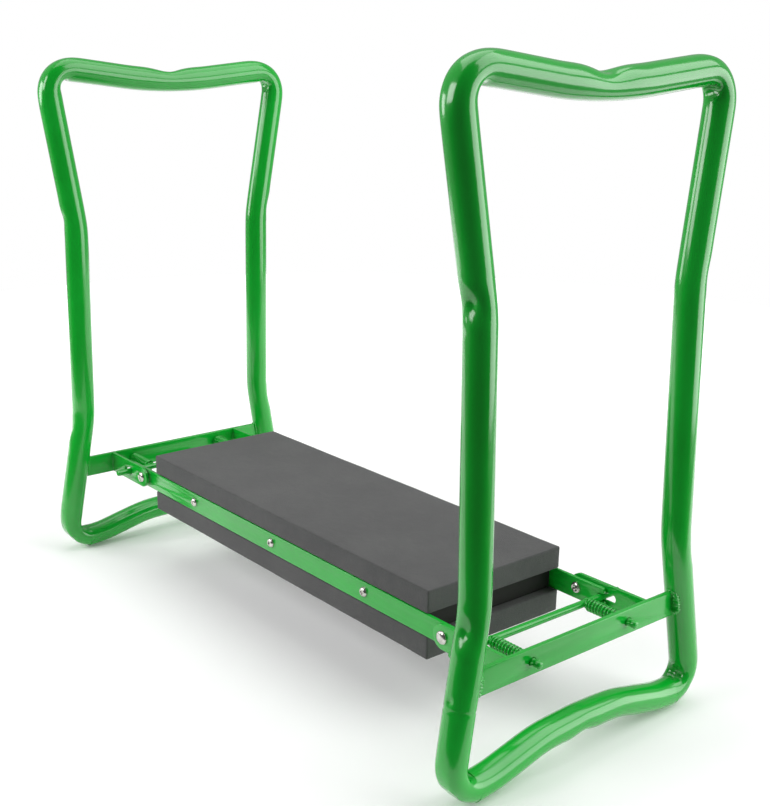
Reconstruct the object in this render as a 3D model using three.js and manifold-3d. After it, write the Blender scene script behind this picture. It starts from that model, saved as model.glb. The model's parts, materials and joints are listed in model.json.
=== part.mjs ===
// Folding garden kneeler and seat.
// Two bent tube loops carry a padded deck between them. Each loop swings on two
// riveted brackets, and a sprung lock rod holds it upright.
// Millimetres, +Z up. Origin: on the ground, midway between the two loops.
import * as THREE from 'three';
import { mergeVertices } from 'three/addons/utils/BufferGeometryUtils.js';
import Module from 'manifold-3d';

const wasm = await Module();
wasm.setup();

// ---------- Driving dimensions ----------

const GAP = 0.3;                  // running gap between neighbouring pieces

const TUBE_R = 11.25;             // painted 7/8 inch tube
const TUBE_WALL = 1.2;
const LOOP_X = 287;               // plane of each loop, from the middle
const CORNER_R = 24;              // centreline radius of the four tight corners
const BEND_R = 60;                // centreline radius of the slight bends
const CREASE_R = 20;              // centreline radius at the pinched middles
const LEAN_IN = 0.0278;           // lean of each loop towards the deck, about the crossbar
const SEAM_Z = 74;                // height of the tube's butt joint
const SLEEVE_LENGTH = 60;
const SLEEVE_R = 9.5;
const ARC_STEP = Math.PI / 11;    // coarsest facet along a bend
const OUTER_SIDES = 16;
const BORE_SIDES = 12;

// Half of the loop from the middle of the handle down to the middle of the
// ground bar: distance from the middle, height, and bend radius at each corner.
const HALF_LOOP = [
  [0, 471, CREASE_R],
  [129.8, 484, CORNER_R],
  [104.5, 333, BEND_R],
  [105.4, 141.7, BEND_R],
  [129.2, TUBE_R, CORNER_R],
  [94, TUBE_R, BEND_R],
  [40, 23.7, BEND_R],
  [0, 25.4, CREASE_R],
];
const LEG_TOP = HALF_LOOP[3];     // the straight lower leg runs between these two
const LEG_FOOT = HALF_LOOP[4];

const BAR_HEIGHT = 20;            // flat bar of the crossbars and brackets
const BAR_Z = 86.8;               // middle of that bar, and height of pivots and rods
const CROSSBAR_THICK = 4;
const CROSSBAR_HALF = 112;        // its ends are coped around the legs
const COPE_R = 11.8;
const BRACKET_THICK = 3;

const PIVOT_X = 223.5;
const PIVOT_R = 3;
const RIVET_HEAD_R = 5.2;
const WASHER_R = 7;
const WASHER_THICK = 1.2;

const PAD_LENGTH = 405;
const PAD_WIDTH = 142;
const PAD_THICK = 18.9;
const RAIL_BOTTOM = 77.2;
const RAIL_TOP = 94.9;
const RAIL_THICK = 3;
const RAIL_OUTER_Y = 71;
const RAIL_END_R = 20.8;          // rail end, about the pivot, inside the lock rod's path
const LIP_TOP = 83.6;             // lower lip under the lock rod
const LIP_END_X = 252;

const ROD_R = 2.9;
const ROD_X = 247.5;
const ROD_REACH = 90;             // half length of the lock rod
const LOCK_TRAVEL = 8;
const PIN_R = 2.9;
const PIN_Y = 51;
const PIN_END_X = 297;
const SPRING_R = 4.6;             // middle of the wire
const SPRING_WIRE_R = 0.75;
const SPRING_TURNS = 9;

const SCREW_X = [-128, 0, 128];
const SCREW_HEAD_R = 4.2;
const SCREW_R = 1.9;
const SCREW_REACH = 22;
const BOARD_SETBACK = 7;          // board ends stay inside the pads' ends

// ---------- Finishes ----------

const green = new THREE.MeshStandardMaterial({ color: 0x1f9a35, roughness: 0.3, metalness: 0 });
const foam = new THREE.MeshStandardMaterial({ color: 0x4d4d4d, roughness: 0.9, metalness: 0 });
const board = new THREE.MeshStandardMaterial({ color: 0x1c1c1c, roughness: 0.8, metalness: 0 });
const nickel = new THREE.MeshStandardMaterial({ color: 0xc8c8c4, roughness: 0.25, metalness: 1 });
const steel = new THREE.MeshStandardMaterial({ color: 0x8a8d90, roughness: 0.4, metalness: 1 });

// ---------- Solid tools ----------

function toSolid(geometry) {
  const bare = geometry.index ? geometry.toNonIndexed() : geometry.clone();
  bare.deleteAttribute('normal');
  bare.deleteAttribute('uv');
  const merged = mergeVertices(bare, 1e-4);
  return new wasm.Manifold(new wasm.Mesh({
    numProp: 3,
    vertProperties: new Float32Array(merged.attributes.position.array),
    triVerts: new Uint32Array(merged.index.array),
  }));
}

function toGeometry(solid) {
  const mesh = solid.getMesh();
  const geometry = new THREE.BufferGeometry();
  geometry.setAttribute('position', new THREE.BufferAttribute(mesh.vertProperties, 3));
  geometry.setIndex(new THREE.BufferAttribute(mesh.triVerts, 1));
  geometry.computeVertexNormals();
  return geometry;
}

function cut(geometry, ...tools) {
  let solid = toSolid(geometry);
  for (const tool of tools) solid = solid.subtract(toSolid(tool));
  return toGeometry(solid);
}

function box(sizeX, sizeY, sizeZ, x, y, z) {
  return new THREE.BoxGeometry(sizeX, sizeY, sizeZ).translate(x, y, z);
}

// A round bar along Y or X between two stations.
function barAlongY(radius, from, to, x, z, sides = 20) {
  const bar = new THREE.CylinderGeometry(radius, radius, to - from, sides);
  return bar.translate(x, (from + to) / 2, z);
}

function barAlongX(radius, from, to, y, z, sides = 20) {
  const bar = new THREE.CylinderGeometry(radius, radius, to - from, sides);
  return bar.rotateZ(Math.PI / 2).translate((from + to) / 2, y, z);
}

// Turns a lathe profile of [radius, height] pairs into a solid along +Y or -Y.
function turned(profile, side, x, y, z, sides = 20) {
  const points = profile.map(([r, h]) => new THREE.Vector2(r, h));
  const shape = new THREE.LatheGeometry(points, sides);
  if (side < 0) shape.rotateX(Math.PI);
  return shape.translate(x, y, z);
}

// ---------- Loop centreline ----------

// One stretch of the centreline: a straight, or an arc about a centre, in the YZ plane.
function straight(from, to, steps = 1) {
  return { steps, at: (s) => from.clone().lerp(to, s) };
}

function arc(centre, radius, from, sweep, steps) {
  const at = (s) => {
    const angle = from + sweep * s;
    return new THREE.Vector2(
      centre.x + radius * Math.cos(angle), centre.y + radius * Math.sin(angle));
  };
  return { steps, at };
}

// Rounds each inner corner of a chain of [y, z, radius] points.
function roundedChain(chain) {
  const stretches = [];
  let last = new THREE.Vector2(chain[0][0], chain[0][1]);
  for (let i = 1; i < chain.length - 1; i += 1) {
    const corner = new THREE.Vector2(chain[i][0], chain[i][1]);
    const radius = chain[i][2];
    const before = new THREE.Vector2(chain[i - 1][0], chain[i - 1][1]).sub(corner).normalize();
    const after = new THREE.Vector2(chain[i + 1][0], chain[i + 1][1]).sub(corner).normalize();
    const half = Math.acos(before.dot(after)) / 2;
    const reach = radius / Math.tan(half);
    const start = corner.clone().addScaledVector(before, reach);
    const middle = before.clone().add(after).normalize();
    const centre = corner.clone().addScaledVector(middle, radius / Math.sin(half));
    const sweep = (Math.PI - 2 * half) * -Math.sign(before.cross(after));
    const angle = Math.atan2(start.y - centre.y, start.x - centre.x);
    const steps = Math.max(2, Math.round(Math.abs(sweep) / ARC_STEP));
    stretches.push(straight(last, start), arc(centre, radius, angle, sweep, steps));
    last = corner.clone().addScaledVector(after, reach);
  }
  const end = chain[chain.length - 1];
  stretches.push(straight(last, new THREE.Vector2(end[0], end[1])));
  return stretches;
}

// The stretches laid end to end in the upright plane x = LOOP_X, each with its own step count.
class LoopPath extends THREE.Curve {
  constructor(stretches) {
    super();
    this.stretches = stretches;
    this.steps = stretches.reduce((sum, stretch) => sum + stretch.steps, 0);
  }

  getPoint(t) {
    let place = t * this.steps;
    let index = 0;
    while (index < this.stretches.length - 1 && place > this.stretches[index].steps) {
      place -= this.stretches[index].steps;
      index += 1;
    }
    const stretch = this.stretches[index];
    const point = stretch.at(place / stretch.steps);
    return new THREE.Vector3(LOOP_X, point.x, point.y);
  }

  getUtoTmapping(u) {
    return u;
  }
}

function ringPoints(radius, sides) {
  return Array.from({ length: sides }, (_, i) => {
    const angle = (2 * Math.PI * i) / sides;
    return new THREE.Vector2(radius * Math.cos(angle), radius * Math.sin(angle));
  });
}

function tubeSection(outer, bore) {
  const shape = new THREE.Shape(ringPoints(outer, OUTER_SIDES));
  shape.holes.push(new THREE.Path(ringPoints(bore, BORE_SIDES)));
  return shape;
}

// The point of the front leg at a distance along it from the seam, positive upward.
function onFrontLeg(distance) {
  const top = new THREE.Vector2(-LEG_TOP[0], LEG_TOP[1]);
  const foot = new THREE.Vector2(-LEG_FOOT[0], LEG_FOOT[1]);
  const upward = top.clone().sub(foot).normalize();
  const seam = foot.clone().lerp(top, (SEAM_Z - foot.y) / (top.y - foot.y));
  return seam.addScaledVector(upward, distance);
}

function sweep(section, path) {
  return new THREE.ExtrudeGeometry(section, {
    extrudePath: path, steps: path.steps, bevelEnabled: false,
  });
}

// ---------- Loop pieces, drawn for the +X end ----------

// Leans a piece towards the deck about the crossbar's middle, with its foot kept on the ground.
function leaned(geometry) {
  const rise = (BAR_Z - TUBE_R) * (1 - Math.cos(LEAN_IN));
  geometry.translate(-LOOP_X, 0, -BAR_Z);
  geometry.rotateY(-LEAN_IN);
  return geometry.translate(LOOP_X, 0, BAR_Z - rise);
}

// The whole ring, from just below the seam round to just above it.
function loopTube() {
  const below = onFrontLeg(-GAP / 2);
  const above = onFrontLeg(GAP / 2);
  const front = HALF_LOOP.map(([y, z, radius]) => [-y, z, radius]);
  const chain = [
    [below.x, below.y],
    ...front.slice(4, 7),
    ...HALF_LOOP.slice().reverse(),
    ...front.slice(1, 4),
    [above.x, above.y],
  ];
  return leaned(sweep(tubeSection(TUBE_R, TUBE_R - TUBE_WALL), new LoopPath(roundedChain(chain))));
}

// Short inner tube that bridges the butt joint.
function jointSleeve() {
  const stretch = straight(onFrontLeg(-SLEEVE_LENGTH / 2), onFrontLeg(SLEEVE_LENGTH / 2), 2);
  return leaned(sweep(tubeSection(SLEEVE_R, SLEEVE_R - TUBE_WALL), new LoopPath([stretch])));
}

// A cylinder around a leg's centreline, used to cope the crossbar's ends.
function legCutter(side) {
  const lean = Math.atan2(LEG_FOOT[0] - LEG_TOP[0], LEG_TOP[1] - LEG_FOOT[1]);
  const middleY = (LEG_TOP[0] + LEG_FOOT[0]) / 2;
  const middleZ = (LEG_TOP[1] + LEG_FOOT[1]) / 2;
  const cutter = new THREE.CylinderGeometry(COPE_R, COPE_R, LEG_TOP[1], 24);
  cutter.rotateX(Math.PI / 2 + side * lean);
  return leaned(cutter.translate(LOOP_X, side * middleY, middleZ));
}

function crossbar() {
  const bar = box(CROSSBAR_THICK, 2 * CROSSBAR_HALF, BAR_HEIGHT, LOOP_X, 0, BAR_Z);
  const holes = [-PIN_Y, PIN_Y].map((y) => barAlongX(
    PIN_R + GAP, LOOP_X - CROSSBAR_THICK, LOOP_X + CROSSBAR_THICK, y, BAR_Z));
  return cut(bar, legCutter(-1), legCutter(1), ...holes);
}

// Hinge bracket: a flat bar with one round end, a pivot hole and the lock rod's slot.
function bracket(side) {
  const outline = new THREE.Shape();
  const inner = LOOP_X - CROSSBAR_THICK / 2 - GAP;
  const half = BAR_HEIGHT / 2;
  outline.moveTo(inner, BAR_Z - half);
  outline.lineTo(inner, BAR_Z + half);
  outline.absarc(PIVOT_X, BAR_Z, half, Math.PI / 2, 1.5 * Math.PI, false);
  const hole = new THREE.Path();
  hole.absarc(PIVOT_X, BAR_Z, PIVOT_R + GAP, 0, 2 * Math.PI, false);
  const slotR = ROD_R + 2 * GAP;
  const slot = new THREE.Path();
  slot.absarc(ROD_X, BAR_Z, slotR, Math.PI / 2, 1.5 * Math.PI, false);
  slot.absarc(ROD_X + LOCK_TRAVEL, BAR_Z, slotR, -Math.PI / 2, Math.PI / 2, false);
  outline.holes.push(hole, slot);
  const plate = new THREE.ExtrudeGeometry(outline, {
    depth: BRACKET_THICK, curveSegments: 10, bevelEnabled: false,
  });
  const innerY = RAIL_OUTER_Y + WASHER_THICK + 2 * GAP;
  plate.rotateX(Math.PI / 2);
  return plate.translate(0, side > 0 ? innerY + BRACKET_THICK : -innerY, 0);
}

// ---------- Lock pieces, drawn for the +X end ----------

function lockRod() {
  const chamfer = 0.8;
  const profile = [
    [0, -ROD_REACH],
    [ROD_R - chamfer, -ROD_REACH],
    [ROD_R, chamfer - ROD_REACH],
    [ROD_R, ROD_REACH - chamfer],
    [ROD_R - chamfer, ROD_REACH],
    [0, ROD_REACH],
  ];
  return turned(profile, 1, ROD_X, 0, BAR_Z);
}

function guidePin(side) {
  return barAlongX(PIN_R, ROD_X + ROD_R + GAP, PIN_END_X, side * PIN_Y, BAR_Z, 16);
}

class Helix extends THREE.Curve {
  getPoint(t) {
    const start = ROD_X + ROD_R + GAP + SPRING_WIRE_R;
    const end = LOOP_X - CROSSBAR_THICK / 2 - GAP - SPRING_WIRE_R;
    const angle = 2 * Math.PI * SPRING_TURNS * t;
    return new THREE.Vector3(
      start + (end - start) * t, SPRING_R * Math.cos(angle), SPRING_R * Math.sin(angle));
  }
}

function lockSpring(side) {
  const wire = new THREE.Shape(ringPoints(SPRING_WIRE_R, 5));
  const coil = new THREE.ExtrudeGeometry(wire, {
    extrudePath: new Helix(), steps: SPRING_TURNS * 9, bevelEnabled: false,
  });
  return coil.translate(0, side * PIN_Y, BAR_Z);
}

// ---------- Deck pieces ----------

function pad(bottom) {
  const corner = 3;
  const x = PAD_LENGTH / 2 - corner;
  const y = PAD_WIDTH / 2 - corner;
  const outline = new THREE.Shape();
  outline.absarc(x, y, corner, 0, Math.PI / 2, false);
  outline.absarc(-x, y, corner, Math.PI / 2, Math.PI, false);
  outline.absarc(-x, -y, corner, Math.PI, 1.5 * Math.PI, false);
  outline.absarc(x, -y, corner, 1.5 * Math.PI, 2 * Math.PI, false);
  const slab = new THREE.ExtrudeGeometry(outline, {
    depth: PAD_THICK, curveSegments: 4, bevelEnabled: false,
  });
  return slab.translate(0, 0, bottom);
}

function screwHole(x, side) {
  const deep = RAIL_OUTER_Y - SCREW_REACH - GAP;
  const from = side > 0 ? deep : -RAIL_OUTER_Y - 1;
  const to = side > 0 ? RAIL_OUTER_Y + 1 : -deep;
  return barAlongY(SCREW_R + GAP, from, to, x, BAR_Z, 12);
}

// Flat bar on edge; each end is rounded about its pivot above a lower lip.
function rail(side) {
  const lift = Math.asin((RAIL_TOP - BAR_Z) / RAIL_END_R);
  const outline = new THREE.Shape();
  outline.moveTo(-LIP_END_X, RAIL_BOTTOM);
  outline.lineTo(LIP_END_X, RAIL_BOTTOM);
  outline.lineTo(LIP_END_X, LIP_TOP);
  outline.lineTo(PIVOT_X + RAIL_END_R, LIP_TOP);
  outline.absarc(PIVOT_X, BAR_Z, RAIL_END_R, 0, lift, false);
  outline.absarc(-PIVOT_X, BAR_Z, RAIL_END_R, Math.PI - lift, Math.PI, false);
  outline.lineTo(-PIVOT_X - RAIL_END_R, LIP_TOP);
  outline.lineTo(-LIP_END_X, LIP_TOP);
  for (const x of [-PIVOT_X, PIVOT_X]) {
    const hole = new THREE.Path();
    hole.absarc(x, BAR_Z, PIVOT_R + GAP, 0, 2 * Math.PI, false);
    outline.holes.push(hole);
  }
  for (const x of SCREW_X) {
    const hole = new THREE.Path();
    hole.absarc(x, BAR_Z, SCREW_R + GAP, 0, 2 * Math.PI, false);
    outline.holes.push(hole);
  }
  const bar = new THREE.ExtrudeGeometry(outline, {
    depth: RAIL_THICK, curveSegments: 8, bevelEnabled: false,
  });
  bar.rotateX(Math.PI / 2);
  return bar.translate(0, side > 0 ? RAIL_OUTER_Y : RAIL_THICK - RAIL_OUTER_Y, 0);
}

function seatBoard() {
  const halfWidth = RAIL_OUTER_Y - RAIL_THICK - GAP;
  const height = RAIL_TOP - RAIL_BOTTOM;
  const slab = box(
    PAD_LENGTH - 2 * BOARD_SETBACK, 2 * halfWidth, height, 0, 0, RAIL_BOTTOM + height / 2);
  const holes = [-1, 1].flatMap((side) => SCREW_X.map((x) => screwHole(x, side)));
  return cut(slab, ...holes);
}

function railScrew(x, side) {
  const tip = RAIL_OUTER_Y - SCREW_REACH;
  const face = RAIL_OUTER_Y + GAP;
  const profile = [
    [0, tip],
    [SCREW_R, tip + 2],
    [SCREW_R, face],
    [SCREW_HEAD_R, face],
    [SCREW_HEAD_R - 0.3, face + 1.3],
    [SCREW_HEAD_R - 1.7, face + 2.2],
    [0, face + 2.4],
  ];
  return turned(profile, side, x, 0, BAR_Z, 14);
}

function pivotRivet(x, side) {
  const tail = RAIL_OUTER_Y - RAIL_THICK - GAP;
  const head = RAIL_OUTER_Y + WASHER_THICK + BRACKET_THICK + 3 * GAP;
  const tailR = RIVET_HEAD_R - 1.2;
  const profile = [
    [0, tail - 1.8],
    [tailR - 1.3, tail - 1.6],
    [tailR, tail - 0.8],
    [tailR, tail],
    [PIVOT_R, tail],
    [PIVOT_R, head],
    [RIVET_HEAD_R, head],
    [RIVET_HEAD_R - 0.5, head + 1.2],
    [RIVET_HEAD_R - 2.4, head + 2.1],
    [0, head + 2.4],
  ];
  return turned(profile, side, x, 0, BAR_Z, 16);
}

function pivotWasher(x, side) {
  const near = RAIL_OUTER_Y + GAP;
  const far = near + WASHER_THICK;
  const bore = PIVOT_R + GAP;
  const profile = [
    [bore, near],
    [WASHER_R, near],
    [WASHER_R, far],
    [bore, far],
    [bore, near],
  ];
  return turned(profile, side, x, 0, BAR_Z, 16);
}

// ---------- Assembly ----------

function add(group, name, geometry, material) {
  const mesh = new THREE.Mesh(geometry, material);
  mesh.name = name;
  group.add(mesh);
}

const kneeler = new THREE.Group();

add(kneeler, 'top_pad', pad(RAIL_TOP + GAP), foam);
add(kneeler, 'lower_pad', pad(RAIL_BOTTOM - GAP - PAD_THICK), foam);
add(kneeler, 'seat_board', seatBoard(), board);

for (const [edge, side] of [['front', -1], ['back', 1]]) {
  add(kneeler, `${edge}_rail`, rail(side), green);
  ['left', 'middle', 'right'].forEach((place, index) => {
    add(kneeler, `${edge}_rail_screw_${place}`, railScrew(SCREW_X[index], side), nickel);
  });
  for (const [end, x] of [['left', -PIVOT_X], ['right', PIVOT_X]]) {
    add(kneeler, `${end}_${edge}_pivot_rivet`, pivotRivet(x, side), nickel);
    add(kneeler, `${end}_${edge}_pivot_washer`, pivotWasher(x, side), steel);
  }
}

// The two ends are the same assembly; the left one is turned half a turn about Z.
for (const [end, turn] of [['right', 0], ['left', Math.PI]]) {
  const assembly = new THREE.Group();
  assembly.rotation.z = turn;
  add(assembly, `${end}_loop_tube`, loopTube(), green);
  add(assembly, `${end}_joint_sleeve`, jointSleeve(), steel);
  add(assembly, `${end}_crossbar`, crossbar(), green);
  add(assembly, `${end}_lock_rod`, lockRod(), green);
  for (const side of [-1, 1]) {
    const edge = (side < 0) === (turn === 0) ? 'front' : 'back';
    add(assembly, `${end}_${edge}_bracket`, bracket(side), green);
    add(assembly, `${end}_${edge}_guide_pin`, guidePin(side), green);
    add(assembly, `${end}_${edge}_lock_spring`, lockSpring(side), green);
  }
  kneeler.add(assembly);
}

export default kneeler;
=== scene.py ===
# %% [markdown]
# # A folding garden kneeler
# The real thing is two loops of bent steel tube, coated green, with a padded deck hung between them. Each
# loop swings on two riveted brackets, and a sprung rod locks it upright. The CAD model already fixes every
# size and every joint, so this lesson only makes the surfaces: bent tube with its dents, bevelled flat bar,
# weld beads, springs, rivets and closed-cell foam. Lengths are in metres, +Z is up, and +X is the right end.

# %% Load the fixed frame
import json
import math
from collections import namedtuple

import bmesh
import bpy
import numpy as np
from mathutils import Matrix, Vector, noise


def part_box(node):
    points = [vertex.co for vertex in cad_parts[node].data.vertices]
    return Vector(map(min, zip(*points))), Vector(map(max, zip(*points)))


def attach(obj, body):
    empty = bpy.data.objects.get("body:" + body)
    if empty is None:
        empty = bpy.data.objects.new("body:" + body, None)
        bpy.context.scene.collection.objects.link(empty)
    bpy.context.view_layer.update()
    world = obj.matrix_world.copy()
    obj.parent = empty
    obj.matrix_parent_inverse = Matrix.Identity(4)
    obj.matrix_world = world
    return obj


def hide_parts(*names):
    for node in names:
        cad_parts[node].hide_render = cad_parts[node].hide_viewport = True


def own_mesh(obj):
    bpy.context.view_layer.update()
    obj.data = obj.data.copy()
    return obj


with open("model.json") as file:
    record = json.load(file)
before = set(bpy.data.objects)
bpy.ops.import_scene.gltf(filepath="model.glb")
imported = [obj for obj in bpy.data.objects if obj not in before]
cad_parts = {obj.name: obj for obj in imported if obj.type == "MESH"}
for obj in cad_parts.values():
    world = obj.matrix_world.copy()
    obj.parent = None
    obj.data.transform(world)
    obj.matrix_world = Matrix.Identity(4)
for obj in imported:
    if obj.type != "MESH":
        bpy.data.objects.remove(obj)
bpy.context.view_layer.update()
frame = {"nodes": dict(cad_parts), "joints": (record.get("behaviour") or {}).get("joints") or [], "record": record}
MM = 0.001
BODY_OF = {node: body for body, nodes in frame["record"]["behaviour"]["bodies"].items() for node in nodes}

# %% [markdown]
# ## Driving dimensions
# Nearly everything is read from the CAD nodes' boxes, so a change in the model carries through. Only the
# loop's line has to be said again: half of it, from the middle of the handle to the middle of the ground
# bar, as corners with a bend radius. The fourth and fifth corners are the ends of the straight lower leg,
# which the crossbar is welded to.

# %% Named sizes
bar_low, bar_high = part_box("right_crossbar")
bracket_low, bracket_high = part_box("right_front_bracket")
rod_low, rod_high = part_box("right_lock_rod")
rail_low, rail_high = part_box("back_rail")
spring_low, spring_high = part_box("right_back_lock_spring")

LOOP_X = (bar_low.x + bar_high.x) / 2
TUBE_R = 11.25 * MM
BAR_HALF = (bar_high.z - bar_low.z) / 2
AXIS_Z = (bar_high.z + bar_low.z) / 2
PIVOT_X = bracket_low.x + BAR_HALF
ROD_X = (rod_low.x + rod_high.x) / 2
ROD_R = (rod_high.x - rod_low.x) / 2
PIN_Y = (spring_low.y + spring_high.y) / 2
TRAVEL = next(j["range_m"][1] for j in frame["joints"] if j["name"] == "right_lock_slide")

LEAN_IN = 0.0278  # radians, lean of each loop towards the deck
CORNER_R = 21 * MM  # the tight corners
BEND_R = 105 * MM  # the slight bends of the legs
ARCH_R = 130 * MM  # the bends of the ground bar
CREASE_R = 110 * MM  # the middle of the ground bar
HANDLE_R = 420 * MM  # the middle of the handle
HALF_LOOP = [  # distance from the middle, height, centreline radius and kind of bend
    (0, 0.469, HANDLE_R, "handle_crease"),
    (0.1298, 0.484, CORNER_R, "handle_corner"),
    (0.1045, 0.333, BEND_R, "upper_bend"),
    (0.1054, 0.1417, BEND_R, "lower_bend"),
    (0.1292, TUBE_R, CORNER_R, "foot_corner"),
    (0.094, TUBE_R, ARCH_R, "foot_bend"),
    (0.040, 0.0237, ARCH_R, "arch_bend"),
    (0, 0.0254, CREASE_R, "foot_crease"),
]
LEG_TOP, LEG_FOOT = HALF_LOOP[3], HALF_LOOP[4]
SEAM_Z = 0.074
print(f"tube radius {TUBE_R / MM:.2f} mm, pivots at x {PIVOT_X / MM:.1f} mm, travel {TRAVEL / MM:.1f} mm")


def leg_y(z):
    """Distance of the straight lower leg's centreline from the middle, at a height."""
    share = (z - LEG_FOOT[1]) / (LEG_TOP[1] - LEG_FOOT[1])
    return LEG_FOOT[0] + share * (LEG_TOP[0] - LEG_FOOT[0])


# %% [markdown]
# ## Shader maths
# A node graph is easier to read as a sum than as a picture, so one small class wraps a node's output and
# lets Python's operators add the Math nodes. A second class holds a node tree and makes any other node from
# a type, its settings and its inputs. A finish is such a tree for one material, and feeds its Principled
# shader; the sky uses the same class later.

# %% A value in a node graph, and a finish


class Value:
    """One output socket; arithmetic on it adds Math nodes."""

    def __init__(self, graph, socket):
        self.graph = graph
        self.socket = socket

    def _math(self, operation, first, second):
        return self.graph.node("Math", {"operation": operation}, {0: first, 1: second})

    def __add__(self, other):
        return self._math("ADD", self, other)

    def __mul__(self, other):
        return self._math("MULTIPLY", self, other)

    def __sub__(self, other):
        return self._math("SUBTRACT", self, other)

    def __rsub__(self, other):
        return self._math("SUBTRACT", other, self)

    __radd__ = __add__
    __rmul__ = __mul__

    def between(self, low, high):
        """0 below low, 1 above high, and a smooth step between them."""
        return self.graph.node(
            "MapRange", {"interpolation_type": "SMOOTHSTEP"}, {0: self, 1: low, 2: high, 3: 0.0, 4: 1.0}
        )


class Graph:
    """A node tree, and the one method that adds a node to it."""

    def __init__(self, tree):
        self.tree = tree

    def node(self, kind, settings=None, inputs=None, output=0):
        made = self.tree.nodes.new("ShaderNode" + kind)
        for key, value in (settings or {}).items():
            setattr(made, key, value)
        for key, value in (inputs or {}).items():
            if isinstance(value, Value):
                self.tree.links.new(value.socket, made.inputs[key])
            else:
                made.inputs[key].default_value = value
        return Value(self, made.outputs[output]) if made.outputs else None


class Finish(Graph):
    """One material: a Principled shader with constants on its sockets and values fed to the rest."""

    def __init__(self, name, **constants):
        self.material = bpy.data.materials.new(name)
        self.material.use_nodes = True
        super().__init__(self.material.node_tree)
        self.shader = self.tree.nodes["Principled BSDF"]
        for key, value in constants.items():
            self.shader.inputs[key.replace("_", " ").title().replace("Ior", "IOR")].default_value = value
        self.place = self.node("TexCoord", output="Object")

    def noise(self, scale, detail=2.0, roughness=0.5, stretch=(1, 1, 1)):
        place = self.node("VectorMath", {"operation": "MULTIPLY"}, {0: self.place, 1: stretch})
        inputs = {"Vector": place, "Scale": scale, "Detail": detail, "Roughness": roughness}
        return self.node("TexNoise", None, inputs, "Fac")

    def cells(self, scale, feature="F1"):
        return self.node(
            "TexVoronoi", {"feature": feature}, {"Vector": self.place, "Scale": scale}, "Distance"
        )

    def mix(self, factor, first, second):
        inputs = {"Factor": factor, 6: first, 7: second}
        return self.node("Mix", {"data_type": "RGBA"}, inputs, 2)

    def bump(self, height, distance, strength=1.0, after=None):
        inputs = {"Height": height, "Distance": distance, "Strength": strength}
        if after is not None:
            inputs["Normal"] = after
        return self.node("Bump", None, inputs)

    def feed(self, **values):
        for key, value in values.items():
            self.tree.links.new(value.socket, self.shader.inputs[key.replace("_", " ").title()])
        return self


print("operators on a value:", [name for name in vars(Value) if name.endswith(("add__", "mul__", "sub__"))])

# %% [markdown]
# ## Green coat
# Powder coat flows out to a gloss skin that is nearly, but not quite, level: it keeps a faint orange peel
# about a millimetre across. The colour is even, with a slow drift where the coat is thicker. Two noises at
# those two sizes, one for the bump and one for colour and gloss, say that better than any single texture.

# %% Green coat


def make_green_coat():
    coat = Finish("green_coat", metallic=0.0, ior=1.5, coat_weight=0.5, coat_roughness=0.08)
    drift = coat.noise(9.0, 3.0)
    colour = coat.mix(drift.between(0.3, 0.7), (0.001, 0.35, 0.020, 1), (0.003, 0.43, 0.030, 1))
    gloss = coat.noise(55.0, 3.0)
    peel = coat.noise(620.0, 1.5)
    waves = coat.noise(90.0, 1.0)
    normal = coat.bump(peel * 0.35 + waves, 0.00012, 0.5)
    return coat.feed(base_color=colour, roughness=gloss * 0.10 + 0.13, normal=normal)


GREEN = make_green_coat().material
print("green coat:", len(GREEN.node_tree.nodes), "nodes")

# %% [markdown]
# ## Foam, board and metals
# Closed-cell foam is matt and slightly pitted, because the knife that cuts it opens its cells: small cells
# for the pits, a middling noise for the soft unevenness, and a slow one for the paler and darker patches.
# The board is plywood with its grain along the deck, coloured near black: partly a dark board, partly painted
# shade for its recess between the pads. The fasteners are bright nickel, with fine scratches, and the
# washers and inner sleeves are plain drawn steel.

# %% Foam, board and metals


def make_foam():
    foam = Finish("eva_foam", metallic=0.0, specular_ior_level=0.35, sheen_weight=0.12, sheen_roughness=0.5)
    patches = foam.noise(16.0, 4.0, 0.55)
    scuffs = foam.noise(120.0, 3.0, 0.6, (1, 2.2, 1))
    pits = foam.cells(1100.0)
    grain = foam.noise(1500.0, 2.0, 0.6)
    shade = patches * 0.6 + scuffs * 0.4
    colour = foam.mix(shade.between(0.32, 0.68), (0.066, 0.066, 0.067, 1), (0.085, 0.085, 0.085, 1))
    speck = foam.mix(grain.between(0.60, 0.75), colour, (0.125, 0.125, 0.125, 1))
    soft = foam.bump(patches + scuffs * 0.3, 0.0012, 0.35)
    normal = foam.bump(pits + grain * 0.8, 0.00045, 0.55, soft)
    return foam.feed(base_color=speck, roughness=scuffs * 0.12 + 0.78, normal=normal)


def make_board():
    board = Finish("black_board", metallic=0.0, specular_ior_level=0.3)
    grain = board.noise(60.0, 5.0, 0.65, (0.12, 1, 6))
    # Near black: partly the board's own colour, partly painted shade for the recess between the pads.
    colour = board.mix(grain, (0.008, 0.008, 0.008, 1), (0.024, 0.022, 0.020, 1))
    normal = board.bump(grain, 0.0004, 0.5)
    return board.feed(base_color=colour, roughness=grain * 0.2 + 0.6, normal=normal)


def make_metal(name, dark, light, roughness):
    metal = Finish(name, metallic=1.0)
    scratches = metal.noise(700.0, 4.0, 0.7, (1, 0.2, 1))
    tarnish = metal.noise(180.0, 3.0)
    colour = metal.mix(tarnish.between(0.3, 0.7), dark, light)
    normal = metal.bump(scratches, 0.00006, 0.4)
    return metal.feed(base_color=colour, roughness=scratches * 0.16 + roughness, normal=normal)


FOAM = make_foam().material
BOARD = make_board().material
NICKEL = make_metal("bright_nickel", (0.55, 0.54, 0.51, 1), (0.78, 0.76, 0.72, 1), 0.14).material
STEEL = make_metal("drawn_steel", (0.34, 0.35, 0.36, 1), (0.52, 0.53, 0.54, 1), 0.30).material

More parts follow.
